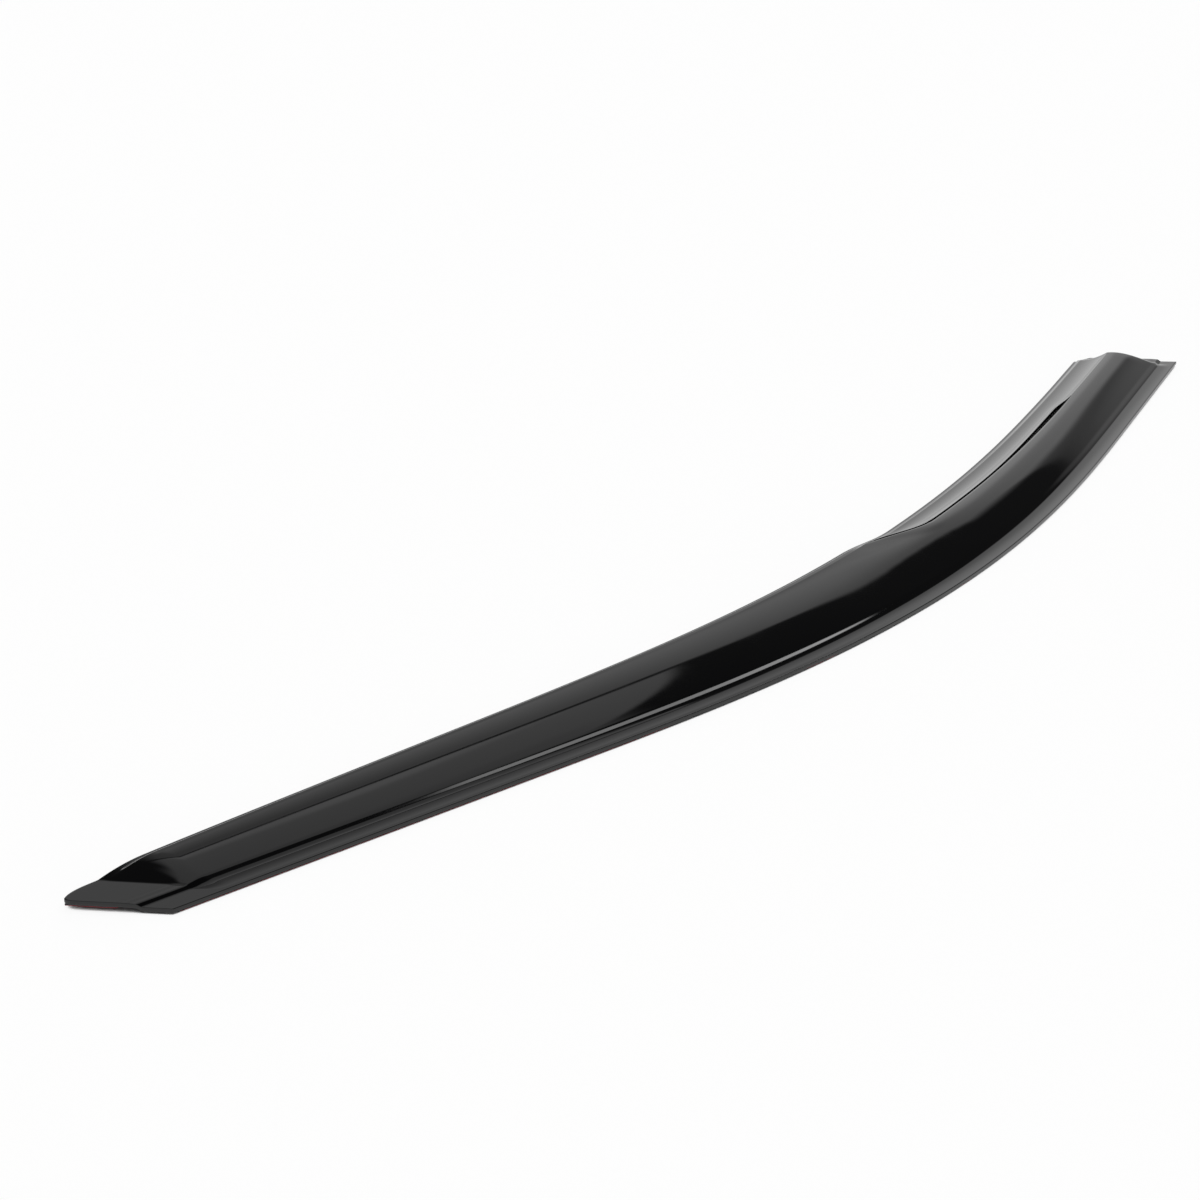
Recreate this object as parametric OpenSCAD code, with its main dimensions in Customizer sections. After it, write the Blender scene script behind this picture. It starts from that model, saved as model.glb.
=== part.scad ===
// Window rain deflector, right-hand door, tape-on vented type, lying as it rests: flange down.
// +X runs from the foot at the mirror corner to the rear end, the flange is on the -Y side, +Z up.
// The origin is on the ground, at the middle of the first flange liner's lower face.
// The shell is one loft: skewed cross-sections stand along the flange's outer edge.
// Lengths are in millimetres, angles in degrees.

/* [Plan] */
// Length along the flange's outer edge
flange_len = 1076; // [1000:1:1120]
// Angle of the outer edge at the foot below +X
foot_heading = 9.5; // [6:0.5:14]
// Angle the outer edge turns through between foot and rear end
bend_angle = 27; // [20:0.5:32]
// Distance from the foot at which the bend starts
bend_start = 250; // [200:5:280]
// Length of the bend
bend_len = 680; // [640:5:720]

/* [Width] */
// Width across the shell at the foot
foot_width = 44.5; // [42:0.5:52]
// Greatest width across the shell
wide_width = 75; // [70:0.5:84]
// Distance from the foot of the greatest width
wide_at = 660; // [620:5:720]
// Width lost again by the rear end
rear_narrowing = 5; // [2:0.5:8]
// Width of the dished flange, to the riser's foot
flange_w = 9.5; // [9:0.5:11]
// Width of the riser between flange and band
riser_w = 5.5; // [5:0.5:7]

/* [Heights above the flange] */
// Thickness of the acrylic sheet
sheet_t = 2.5; // [2:0.1:3]
// Height of the two end tabs
tab_rise = 2; // [1.5:0.1:2.5]
// Height of the riser's foot over the flange's outer edge
dish_rise = 0.8; // [0.4:0.1:1]
// Height of the band at the top of the riser
riser_h = 3.5; // [3:0.1:4.5]
// Height of the band's inner edge at the foot
band_h_foot = 8.5; // [7.5:0.1:10]
// Height of the band's inner edge from the middle to the rear end
band_h = 13; // [11:0.1:14.5]
// Drop from the band's edge to the inner edge of the wing
wing_drop = 6.5; // [4.5:0.1:7.5]
// Drop from the crest to the inner lip, ahead of the wing
lip_drop = 2.8; // [1.5:0.1:3.2]
// Drop from the wing to the inner lip
rear_lip_drop = 1.8; // [1.2:0.1:2.8]

/* [Vent wing and slot] */
// Distance from the wing's start to the rear end
wing_to_rear = 486; // [450:2:510]
// Length over which the wing grows to its full width
wing_growth = 72; // [60:2:90]
// Width of the wing between slot and lip
wing_w = 19; // [16:0.5:22]
// Distance from the wing's start to the slot's start
slot_lead = 66; // [56:2:80]
// Distance from the slot's end to the rear end
slot_to_rear = 140; // [116:2:176]
// Width of the slot's narrow front part
slot_front_w = 1.1; // [0.8:0.1:1.6]
// Greatest width of the slot, near its rear end
slot_w = 3.6; // [2.4:0.1:4.2]
// Lift of the wing's edge where the slot is widest
louvre_h = 1.4; // [0.6:0.1:1.8]

/* [Ends] */
// Depth of the foot tab along the flange
foot_tab = 30; // [26:1:36]
// Length over which the inner edge rises from the foot tab
foot_close = 27; // [20:1:36]
// Length over which the riser rises from the foot tab
foot_close_riser = 11; // [8:1:16]
// Depth of the rear tab along the flange
rear_tab = 8; // [7:0.5:10]
// Length over which the inner edge drops to the rear tab
rear_close = 15; // [12:0.5:20]
// Length over which the riser drops to the rear tab
rear_close_riser = 8; // [6:0.5:12]
// Corner radius of the foot tab's tip
tip_r = 3.5; // [2:0.5:6]

/* [Tape] */
// Width of the flange tape
tape_w = 7; // [6:0.5:7.5]
// Thickness of the foam tape
tape_t = 1; // [0.8:0.1:1.2]
// Thickness of the release liner
liner_t = 0.2; // [0.15:0.05:0.3]
// Gap between one tape run and the next
tape_gap = 3; // [2:0.5:5]
// Distance from the flange's outer edge to the ends of a tape run
tape_inset = 1; // [0.6:0.1:1.4]

/* [Hidden] */
// Straight tape runs along the flange
tape_runs = 7;
runs = [1 : tape_runs];

// Places of the wing and the slot, from the foot
wing_start = flange_len - wing_to_rear;
slot_start = wing_start + slot_lead;
slot_end = flange_len - slot_to_rear;
// Shape of the width and height curves along the shell
width_power = 1.6;
height_power = 1.3;
band_full_at = 600;
rear_taper_len = 330;
// Foot tab's inner edge, drawn in towards the tip
tip_depth = 5;
tip_len = 25;
tip_power = 2.5;
// Flare of the rear tab's inner corner
flare_w = 5;
flare_len = 26;
// Widths along the inner edge: shoulder, joggle, and lip at the foot and at the wing
shoulder_w = 2.4;
joggle_w = 3.8;
lip_w_foot = 2;
lip_w_rear = 1.6;
// Drop of the crest, just ahead of the wing
drop_start = wing_start - 15;
drop_len = 66;
// Hollow of the wing: fall along it, and the power of its concave section
wing_fall = 0.4;
wing_fall_len = 380;
wing_curve = 1.8;
// Power by which the lift of the wing's edge fades across the wing
louvre_power = 4;
// Slot: width left at its two ends, lengths over which they open, and length of its front part
slot_end_w = 0.3;
slot_open_len = 8;
slot_close_len = 34;
slot_front_len = 90;
// Slope of the dished flange at the riser's foot, and width of the flat face that carries the tape
dish_slope = 0.19;
tape_face_w = 10;
// Width of the fold between the riser and the flat part of a tab, and the riser's share of the rise
fold_w = 6;
tab_share = 0.75;
// End slopes of the band's convex section, ahead of the wing and beside it
crown_front = [0.34, 0.05];
crown_rear = [0.48, -0.10];
// Rounding of the sheet's edges, and the steepest slope that thickens the sheet
edge_r = 0.4;
steepest = 0.8;
// Skew of the two cut ends: run along the flange for each millimetre across
foot_skew = -1.05;
rear_skew = -0.4;
skew_len_foot = 280;
skew_len_rear = 170;
// Step of the sums along the flange's outer edge
path_step = 4;
// Largest distance between stations at the ends, along the wing and in between
end_step = 4;
wing_step = 8;
mid_step = 20;

// Heights of the flange's two faces
face_z = tape_t + liner_t;
top_z = face_z + sheet_t;

// Smooth step from 0 to 1
function ease(t) = let (c = min(max(t, 0), 1)) c * c * (3 - 2 * c);
function mix(a, b, t) = a + (b - a) * t;
// Cubic between two heights with given end slopes over a run
function hermite(z0, z1, m0, m1, run, t) =
    z0 * (2 * t * t * t - 3 * t * t + 1) + z1 * (3 * t * t - 2 * t * t * t)
    + run * (m0 * (t * t * t - 2 * t * t + t) + m1 * (t * t * t - t * t));

// Outer edge of the flange in plan
function heading(s) = bend_angle * ease((s - bend_start) / bend_len) - foot_heading;
path_n = ceil((flange_len + 2 * path_step) / path_step);
headings = [for (i = [0 : path_n]) heading((i + 0.5) * path_step)];
function running(v, i = 0, sum = [0, 0]) =
    i >= len(v) ? [sum]
    : concat([sum], running(v, i + 1, sum + path_step * [cos(v[i]), sin(v[i])]));
edge_path = running(headings);
function on_edge(s) =
    let (k = min(floor(s / path_step), path_n - 1), f = s / path_step - k)
    mix(edge_path[k], edge_path[k + 1], f);
function skew(s) =
    foot_skew * (1 - ease(s / skew_len_foot)) + rear_skew * ease(1 - (flange_len - s) / skew_len_rear);
// Plan point at a distance along and across
function plan(s, w) =
    let (h = heading(s), along = [cos(h), sin(h)], inward = [-sin(h), cos(h)])
    on_edge(s) + w * (inward + skew(s) * along);

// Straight tape run, numbered from 1: its outer corners at the inset, and its middle
tape_margin = 5;
run_len = (flange_len - 2 * tape_margin - (tape_runs - 1) * tape_gap) / tape_runs;
function inset_point(s) = on_edge(s) + tape_inset * [-sin(heading(s)), cos(heading(s))];
function run_s(i) = tape_margin + (i - 1) * (run_len + tape_gap);
function run_ends(i) = [inset_point(run_s(i)), inset_point(run_s(i) + run_len)];
function run_middle(i) =
    let (e = run_ends(i), d = (e[1] - e[0]) / norm(e[1] - e[0]))
    (e[0] + e[1]) / 2 + tape_w / 2 * [-d[1], d[0]];
origin = run_middle(1);
function place(s, w) = plan(s, w) - origin;

// Widths across the shell, from the outer edge
function inner_w(s) =
    wide_width - (wide_width - foot_width) * pow(max(1 - s / wide_at, 0), width_power)
    - rear_narrowing * ease((s - wide_at) / rear_taper_len)
    + flare_w * ease(1 - (flange_len - s) / flare_len)
    - tip_depth * pow(max(1 - s / tip_len, 0), tip_power)
    - (s < tip_r ? tip_r - sqrt(tip_r * tip_r - pow(tip_r - s, 2)) : 0);
function grown(s) = ease((s - wing_start) / wing_growth);
function dropped(s) = ease((s - drop_start) / drop_len);
function lip_w(s) = mix(lip_w_foot, lip_w_rear, ease(s / wing_start));
function crest_w(s) = inner_w(s) - lip_w(s) - joggle_w;
function band_w(s) = crest_w(s) - mix(shoulder_w, wing_w, grown(s));
function slot_part(s) =
    let (front = slot_start + slot_front_len) (s - front) / (slot_end - slot_close_len - front);
function gap_w(s) =
    mix(slot_end_w, mix(slot_front_w, slot_w, ease(slot_part(s))),
        ease((s - slot_start) / slot_open_len + 1) * ease((slot_end - s) / slot_close_len));
riser_end = flange_w + riser_w;
tab_flat_w = riser_end + fold_w;

// Heights of the upper surface above the flange's upper face
function band_z(s) = mix(band_h, band_h_foot, pow(max(1 - s / band_full_at, 0), height_power));
function crest_z(s) =
    band_z(s) - dropped(s) * (wing_drop - wing_fall * (1 - ease((s - wing_start) / wing_fall_len)));
function joggle_h(s) = mix(lip_drop, rear_lip_drop, dropped(s));
function louvre(s) = louvre_h * (gap_w(s) - slot_end_w) / (slot_w - slot_end_w);
function crown(s) = mix(crown_front, crown_rear, grown(s));
// Share of the full height, 0 on the tabs; the end walls are longer at the inner edge than at the riser
rear_wall_end = flange_len - rear_tab;
wall_power = 2;
function wall(t) = 1 - pow(1 - min(max(t, 0), 1), wall_power);
function raised(s, w) =
    let (across = ease((w - flange_w) / (crest_w(s) - flange_w)))
    wall((s - foot_tab) / mix(foot_close_riser, foot_close, across))
    * wall((rear_wall_end - s) / mix(rear_close_riser, rear_close, across));

// Full-height profile in stretches, each with its own parameter from 0 to 1
function dish_z(t) = hermite(0, dish_rise, 0, dish_slope, flange_w, t);
function riser_z(t, s) = hermite(dish_rise, riser_h, dish_slope, crown(s)[0], riser_w, t);
function hump_z(t, s) = hermite(riser_h, band_z(s), crown(s)[0], crown(s)[1], band_w(s) - riser_end, t);
function wing_z(t, s) =
    let (cut = (gap_w(s) - slot_end_w) / (crest_w(s) - band_w(s) - slot_end_w))
    mix(crest_z(s), band_z(s), pow((1 - t) * (1 - cut), wing_curve)) + louvre(s) * pow(1 - t, louvre_power);
function joggle_z(t, s) = crest_z(s) - joggle_h(s) * ease(t);
function tab_z(w) =
    tab_rise * mix(ease((w - riser_end) / fold_w), ease((w - flange_w) / riser_w), tab_share);

// Upper surface: list of [distance across, height] from the outer to the inner edge
flange_pts = [edge_r, flange_w * 0.35, flange_w * 0.7, flange_w];
riser_t = [0.2, 0.4, 0.6, 0.8, 1];
fold_pts = [riser_end + fold_w / 2, tab_flat_w];
hump_t = [0.25, 0.5, 0.75, 1];
wing_t = [0, 0.15, 0.4, 0.7, 1];
joggle_t = [0.3, 0.6, 1];
function upper(s) =
    let (
        bw = band_w(s), cw = crest_w(s), lip_z = crest_z(s) - joggle_h(s),
        hump_pts = concat(fold_pts, [for (t = hump_t) mix(tab_flat_w, bw, t)])
    )
    concat(
        [for (w = flange_pts) [w, dish_z(w / flange_w)]],
        [for (t = riser_t) [flange_w + riser_w * t, riser_z(t, s)]],
        [for (w = hump_pts) [w, hump_z((w - riser_end) / (bw - riser_end), s)]],
        [for (t = wing_t) [mix(bw + gap_w(s), cw, t), wing_z(t, s)]],
        [for (t = joggle_t) [cw + joggle_w * t, joggle_z(t, s)]],
        [[inner_w(s) - edge_r, lip_z]]
    );

// Height of one point in the part's frame, and of the sheet's lower face under it
function real_z(p, s) = top_z + mix(tab_z(p[0]), p[1], raised(s, p[0]));
function under(w, z, slope) =
    let (thick = sheet_t * norm([1, min(abs(slope), steepest)]))
    mix(face_z, max(face_z + tab_z(w), z - thick), ease((w - tape_face_w) / 2));

// Closed ring of one station, upper points first, then lower points back to the outer edge
function ring(s) =
    let (
        u = upper(s), n = len(u), z = [for (p = u) real_z(p, s)],
        slope = [for (i = [0 : n - 1])
            let (a = max(i - 1, 0), b = min(i + 1, n - 1)) (z[b] - z[a]) / (u[b][0] - u[a][0])],
        low = [for (i = [0 : n - 1]) under(u[i][0], z[i], slope[i])]
    )
    concat(
        [[0, top_z - edge_r]],
        [for (i = [0 : n - 1]) [u[i][0], z[i]]],
        [[inner_w(s), z[n - 1] - edge_r], [inner_w(s), low[n - 1] + edge_r]],
        [for (i = [n - 1 : -1 : 0]) [u[i][0], low[i]]],
        [[0, face_z + edge_r]]
    );

// Stations, close together where the ends rise and where the wing grows
function span(a, b, step) = let (n = ceil((b - a) / step)) [for (i = [0 : n - 1]) mix(a, b, i / n)];
stations = concat(
    [0, tip_r * 0.15, tip_r * 0.5],
    span(tip_r, foot_tab, 2 * end_step),
    span(foot_tab, foot_tab + foot_close, end_step),
    span(foot_tab + foot_close, drop_start, 1.2 * mid_step),
    span(drop_start, slot_start, wing_step),
    span(slot_start, slot_end, mid_step),
    span(slot_end, rear_wall_end - rear_close, mid_step),
    span(rear_wall_end - rear_close, rear_wall_end, end_step),
    span(rear_wall_end, flange_len, end_step),
    [flange_len]
);
slot_first = search(slot_start, stations)[0];
slot_last = search(slot_end, stations)[0];

// Quads between neighbouring rings of m points, with the slot left open and walled
function lofted(m) =
    let (
        last = len(stations) - 1,
        a = len(concat(flange_pts, riser_t, fold_pts, hump_t)), la = m - 1 - a,
        slot = [slot_first : slot_last - 1]
    )
    concat(
        [[for (j = [m - 1 : -1 : 0]) j]],
        [[for (j = [0 : m - 1]) last * m + j]],
        [for (i = [0 : last - 1], j = [0 : m - 1])
            let (k = (j + 1) % m, open = i >= slot_first && i < slot_last && (j == a || j == la - 1))
            if (!open) [i * m + j, i * m + k, (i + 1) * m + k, (i + 1) * m + j]],
        [for (i = slot) [i * m + a, i * m + la, (i + 1) * m + la, (i + 1) * m + a]],
        [for (i = slot) [(i + 1) * m + a + 1, (i + 1) * m + la - 1, i * m + la - 1, i * m + a + 1]],
        [let (i = slot_first) [i * m + a, i * m + a + 1, i * m + la - 1, i * m + la]],
        [let (i = slot_last) [i * m + a + 1, i * m + a, i * m + la, i * m + la - 1]]
    );

// The acrylic shell
module visor() {
    rings = [for (s = stations) [for (p = ring(s)) let (q = place(s, p[0])) [q[0], q[1], p[1]]]];
    color([0.03, 0.03, 0.035])
        polyhedron(points = [for (r = rings) each r], faces = lofted(len(rings[0])), convexity = 8);
}

// Flat pads under the two tabs, skewed as the tabs are
pad_margin = 1.5;
pad_outer_w = tab_flat_w + 0.5;
foot_pad = [[pad_margin, foot_tab - 2], [pad_outer_w, foot_width - 4.5]];
rear_pad = [[rear_wall_end + 1, flange_len - 1], [pad_outer_w, wide_width - rear_narrowing - 4]];
module pad(limits, z, thick) {
    translate([0, 0, z])
        linear_extrude(thick)
            polygon([
                place(limits[0][0], limits[1][0]), place(limits[0][0], limits[1][1]),
                place(limits[0][1], limits[1][1]), place(limits[0][1], limits[1][0])
            ]);
}

module foot_tape() { color("dimgray") pad(foot_pad, tab_rise + liner_t, tape_t); }
module foot_liner() { color("firebrick") pad(foot_pad, tab_rise, liner_t); }
module rear_tape() { color("dimgray") pad(rear_pad, tab_rise + liner_t, tape_t); }
module rear_liner() { color("firebrick") pad(rear_pad, tab_rise, liner_t); }

// One straight strip along the flange
module strip(i, z, thick) {
    ends = run_ends(i);
    reach = ends[1] - ends[0];
    translate([ends[0][0] - origin[0], ends[0][1] - origin[1], z])
        rotate([0, 0, atan2(reach[1], reach[0])])
            cube([norm(reach), tape_w, thick]);
}

module flange_tape(i) { color("dimgray") strip(i, liner_t, tape_t); }
module flange_liner(i) { color("firebrick") strip(i, 0, liner_t); }

visor();
foot_tape();
foot_liner();
rear_tape();
rear_liner();
for (i = runs) {
    flange_tape(i);
    flange_liner(i);
}
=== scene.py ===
"""Looks of the right-hand window rain deflector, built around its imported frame.

The shell is laid out flat as a closed sheet of stations and columns, and a Geometry Nodes tree
bends it along the flange's outer edge. The foam tape and its liner are swept along the same edge.
Lengths inside the classes are in millimetres; meshes are in metres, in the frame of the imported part.
"""

import logging
import math
from collections.abc import Sequence
from dataclasses import dataclass, field
from enum import Enum

import bpy
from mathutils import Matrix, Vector


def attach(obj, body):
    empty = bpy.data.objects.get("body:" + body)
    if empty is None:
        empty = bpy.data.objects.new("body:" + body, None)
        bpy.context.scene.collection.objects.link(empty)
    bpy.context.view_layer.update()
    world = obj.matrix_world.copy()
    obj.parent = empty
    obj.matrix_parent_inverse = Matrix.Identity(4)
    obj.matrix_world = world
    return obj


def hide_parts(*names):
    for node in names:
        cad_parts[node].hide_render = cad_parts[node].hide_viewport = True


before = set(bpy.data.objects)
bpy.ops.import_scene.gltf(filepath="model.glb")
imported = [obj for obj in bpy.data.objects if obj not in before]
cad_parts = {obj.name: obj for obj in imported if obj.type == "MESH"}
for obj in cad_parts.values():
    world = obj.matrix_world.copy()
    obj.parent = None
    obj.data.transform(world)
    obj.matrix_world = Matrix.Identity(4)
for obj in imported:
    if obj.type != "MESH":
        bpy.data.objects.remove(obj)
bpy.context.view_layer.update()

log = logging.getLogger("rain_deflector")
MM = 0.001
Point2 = tuple[float, float]
Point3 = tuple[float, float, float]
Quad = tuple[int, int, int, int]
Socket = bpy.types.NodeSocket
Value = float | Socket
FLOAT = "NodeSocketFloat"
# Numbers of the inputs and of the output of a Mix node for colours.
COLOR_A, COLOR_B, COLOR_OUT = 6, 7, 2
# Shortest distance that a slope is worked out over, in millimetres.
SHORTEST = 1e-6
# A patch of the studio has no border at a limit of this many degrees or more.
NO_LIMIT = 179.0


class Slot(Enum):
    """Material slots of the part's record."""

    ACRYLIC = "acrylic"
    FOAM = "foam_tape"
    LINER = "liner"


class Easing(Enum):
    """How a value runs between two limits in a node tree."""

    LINEAR = "LINEAR"
    SMOOTH = "SMOOTHSTEP"


def mix(a: float, b: float, t: float) -> float:
    """Return the value a share t of the way from a to b."""
    return a + (b - a) * t


def ease(t: float) -> float:
    """Return a smooth step from 0 to 1."""
    c = min(max(t, 0.0), 1.0)
    return c * c * (3.0 - 2.0 * c)


def hermite(z0: float, z1: float, m0: float, m1: float, run: float, t: float) -> float:
    """Return a cubic between two heights with given end slopes.

    Args:
        z0: Height at the start.
        z1: Height at the end.
        m0: Slope at the start.
        m1: Slope at the end.
        run: Distance between start and end.
        t: Share of the run, 0 to 1.

    Returns:
        The height at t.
    """
    t2, t3 = t * t, t * t * t
    ends = z0 * (2 * t3 - 3 * t2 + 1) + z1 * (3 * t2 - 2 * t3)
    return ends + run * (m0 * (t3 - 2 * t2 + t) + m1 * (t3 - t2))


def evenly(a: float, b: float, n: int) -> list[float]:
    """Return n evenly spaced values from a up to, but without, b."""
    return [mix(a, b, i / n) for i in range(n)]


def spread(a: float, b: float, step: float) -> list[float]:
    """Return evenly spaced values from a up to, but without, b, at most step apart."""
    return evenly(a, b, max(1, math.ceil((b - a) / step)))


@dataclass(frozen=True)
class Edge:
    """Rounding of the sheet's edges.

    Attributes:
        radius: Radius of the rounding.
        shares: Distances from the edge at which the rounding is sampled, as shares of the radius.
    """

    radius: float = 0.4
    shares: tuple[float, ...] = (0.0, 0.08, 0.3, 0.62, 1.0)

    def near(self) -> list[float]:
        """Return the sampled distances from the edge, nearest first."""
        return [self.radius * share for share in self.shares]

    def drop(self, distance: float, radius: float) -> float:
        """Work out the rounding at one place.

        Args:
            distance: Distance from the edge.
            radius: Radius of the rounding there.

        Returns:
            How far the surface lies below its plain height.
        """
        if radius <= 0.0 or distance >= radius:
            return 0.0
        reach = radius - max(distance, 0.0)
        return radius - math.sqrt(max(radius * radius - reach * reach, 0.0))


@dataclass
class FlangeEdge:
    """Outer edge of the flange in plan, from the foot to the rear end."""

    length: float = 1076.0
    foot_heading: float = 9.5
    bend_angle: float = 27.0
    bend_start: float = 250.0
    bend_len: float = 680.0
    step: float = 4.0
    points: list[Point2] = field(init=False)

    def __post_init__(self) -> None:
        """Sum the edge's points from its heading."""
        self.points = [(0.0, 0.0)]
        for i in range(math.ceil(self.length / self.step) + 2):
            h = self.heading((i + 0.5) * self.step)
            x, y = self.points[-1]
            self.points.append((x + self.step * math.cos(h), y + self.step * math.sin(h)))

    def heading(self, s: float) -> float:
        """Return the edge's angle to +X, in radians, at a distance along it."""
        turned = self.bend_angle * ease((s - self.bend_start) / self.bend_len)
        return math.radians(turned - self.foot_heading)

    def inside(self, s: float, inset: float) -> Point2:
        """Find a point inwards from the edge.

        Args:
            s: Distance along the edge.
            inset: Distance inwards, square to the edge.

        Returns:
            The point.
        """
        k = min(int(s // self.step), len(self.points) - 2)
        f, h = s / self.step - k, self.heading(s)
        (ax, ay), (bx, by) = self.points[k], self.points[k + 1]
        return mix(ax, bx, f) - inset * math.sin(h), mix(ay, by, f) + inset * math.cos(h)


@dataclass(frozen=True)
class Section:
    """Cross-section of the acrylic shell at each distance along the flange.

    A distance across, w, runs from the flange's outer edge to the inner edge. A distance along, s, runs
    from the foot to the rear end.
    """

    # Widths in plan.
    length: float = 1076.0
    foot_width: float = 44.5
    wide_width: float = 75.0
    wide_at: float = 660.0
    rear_narrowing: float = 5.0
    rear_taper_len: float = 330.0
    width_power: float = 1.6
    # Flange with its dish, riser, and the folded ramp of the two tabs.
    flange_w: float = 9.5
    riser_w: float = 5.5
    dish_rise: float = 0.8
    dish_slope: float = 0.19
    tape_face_w: float = 10.0
    tape_face_ease: float = 2.0
    fold_lead: float = 1.0
    fold_w: float = 6.0
    ramp_inset: float = 1.5
    ramp_w: float = 3.0
    tab_share: float = 0.85
    # Sheet and heights.
    sheet_t: float = 2.5
    steepest: float = 0.8
    face_z: float = 1.2
    tab_rise: float = 2.0
    riser_h: float = 3.5
    band_h_foot: float = 8.5
    band_h: float = 13.0
    band_full_at: float = 600.0
    height_power: float = 1.3
    # Wing, joggle and inner lip.
    wing_start: float = 590.0
    wing_growth: float = 72.0
    wing_w: float = 19.0
    wing_drop: float = 6.5
    wing_fall: float = 0.4
    wing_fall_len: float = 380.0
    wing_curve: float = 1.8
    drop_lead: float = 15.0
    drop_len: float = 66.0
    shoulder_w: float = 2.4
    joggle_w: float = 3.8
    lip_drop: float = 2.8
    rear_lip_drop: float = 1.8
    lip_w_foot: float = 2.0
    lip_w_rear: float = 1.6
    # Slot, and the lift of the wing's edge beside it.
    slot_start: float = 656.0
    slot_end: float = 936.0
    slot_front_w: float = 1.1
    slot_w: float = 3.6
    slot_end_w: float = 0.3
    slot_open_len: float = 8.0
    slot_close_len: float = 34.0
    slot_front_len: float = 90.0
    louvre_h: float = 1.4
    louvre_power: float = 4.0
    # End tabs, their walls, the foot's round tip and the rear's flare.
    foot_tab: float = 30.0
    foot_close: float = 27.0
    foot_close_riser: float = 11.0
    rear_tab: float = 8.0
    rear_close: float = 15.0
    rear_close_riser: float = 8.0
    wall_power: float = 2.0
    tip_r: float = 3.5
    tip_depth: float = 5.0
    tip_len: float = 25.0
    tip_power: float = 2.5
    flare_w: float = 5.0
    flare_len: float = 26.0
    # Crown of the band, the drawn-out swell beside the wing's start, and the rolled edge.
    crown_front: Point2 = (0.34, 0.05)
    crown_rear: Point2 = (0.48, -0.10)
    hump: Point2 = (520.0, 740.0)
    hump_lead: float = 40.0
    hump_reach: float = 80.0
    hump_steps: int = 4
    hump_weight: float = 1.05
    hump_sides: Point2 = (10.0, 12.0)
    roll_start: float = 592.0
    roll_lead: float = 22.0
    roll_end_lead: float = 30.0
    roll_w: float = 2.2
    roll_h: float = 0.5

    @property
    def riser_end(self) -> float:
        """Distance across at which the riser ends and the band begins."""
        return self.flange_w + self.riser_w

    def inner_w(self, s: float) -> float:
        """Work out the width of the whole shell.

        Args:
            s: Distance along.

        Returns:
            The distance across of the inner edge.
        """
        lead = max(1.0 - s / self.wide_at, 0.0) ** self.width_power
        rear = self.rear_narrowing * ease((s - self.wide_at) / self.rear_taper_len)
        flare = self.flare_w * ease(1.0 - (self.length - s) / self.flare_len)
        tip = self.tip_depth * max(1.0 - s / self.tip_len, 0.0) ** self.tip_power
        short = max(self.tip_r - s, 0.0)
        corner = self.tip_r - math.sqrt(self.tip_r**2 - short**2)
        wide = self.wide_width - (self.wide_width - self.foot_width) * lead
        return wide - rear + flare - tip - corner

    def grown(self, s: float) -> float:
        """Return how far the wing has grown, 0 to 1."""
        return ease((s - self.wing_start) / self.wing_growth)

    def dropped(self, s: float) -> float:
        """Return how far the inner edge has dropped into the wing, 0 to 1."""
        return ease((s - self.wing_start + self.drop_lead) / self.drop_len)

    def crest_w(self, s: float) -> float:
        """Return the distance across of the joggle's top."""
        lip = mix(self.lip_w_foot, self.lip_w_rear, ease(s / self.wing_start))
        return self.inner_w(s) - lip - self.joggle_w

    def band_w(self, s: float) -> float:
        """Return the distance across of the band's edge, at the slot."""
        return self.crest_w(s) - mix(self.shoulder_w, self.wing_w, self.grown(s))

    def gap_w(self, s: float) -> float:
        """Work out the width of the slot.

        Args:
            s: Distance along.

        Returns:
            The width, which is never less than that of the closed slot.
        """
        front, widest = self.slot_start + self.slot_front_len, self.slot_end - self.slot_close_len
        wide = mix(self.slot_front_w, self.slot_w, ease((s - front) / (widest - front)))
        is_open = ease((s - self.slot_start) / self.slot_open_len + 1.0)
        return mix(self.slot_end_w, wide, is_open * ease((self.slot_end - s) / self.slot_close_len))

    def band_z(self, s: float) -> float:
        """Return the height of the band's edge over the flange."""
        lead = max(1.0 - s / self.band_full_at, 0.0) ** self.height_power
        return mix(self.band_h, self.band_h_foot, lead)

    def crest_z(self, s: float) -> float:
        """Return the height of the joggle's top over the flange."""
        fall = self.wing_fall * (1.0 - ease((s - self.wing_start) / self.wing_fall_len))
        return self.band_z(s) - self.dropped(s) * (self.wing_drop - fall)

    def louvre(self, s: float) -> float:
        """Return the lift of the wing's edge at the slot."""
        return self.louvre_h * (self.gap_w(s) - self.slot_end_w) / (self.slot_w - self.slot_end_w)

    def crown(self, s: float) -> Point2:
        """Return the end slopes of the band's convex section."""
        g = self.grown(s)
        (a, b), (c, d) = self.crown_front, self.crown_rear
        return mix(a, c, g), mix(b, d, g)

    def section_z(self, w: float, s: float) -> float:
        """Work out the height of the band's own section, carried straight on past the band's edge.

        Args:
            w: Distance across.
            s: Distance along.

        Returns:
            The height over the flange.
        """
        start, end = self.crown(s)
        run = self.band_w(s) - self.riser_end
        past = max(w - self.riser_end - run, 0.0)
        t = min((w - self.riser_end) / run, 1.0)
        return hermite(self.riser_h, self.band_z(s), start, end, run, t) + end * past

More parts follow.
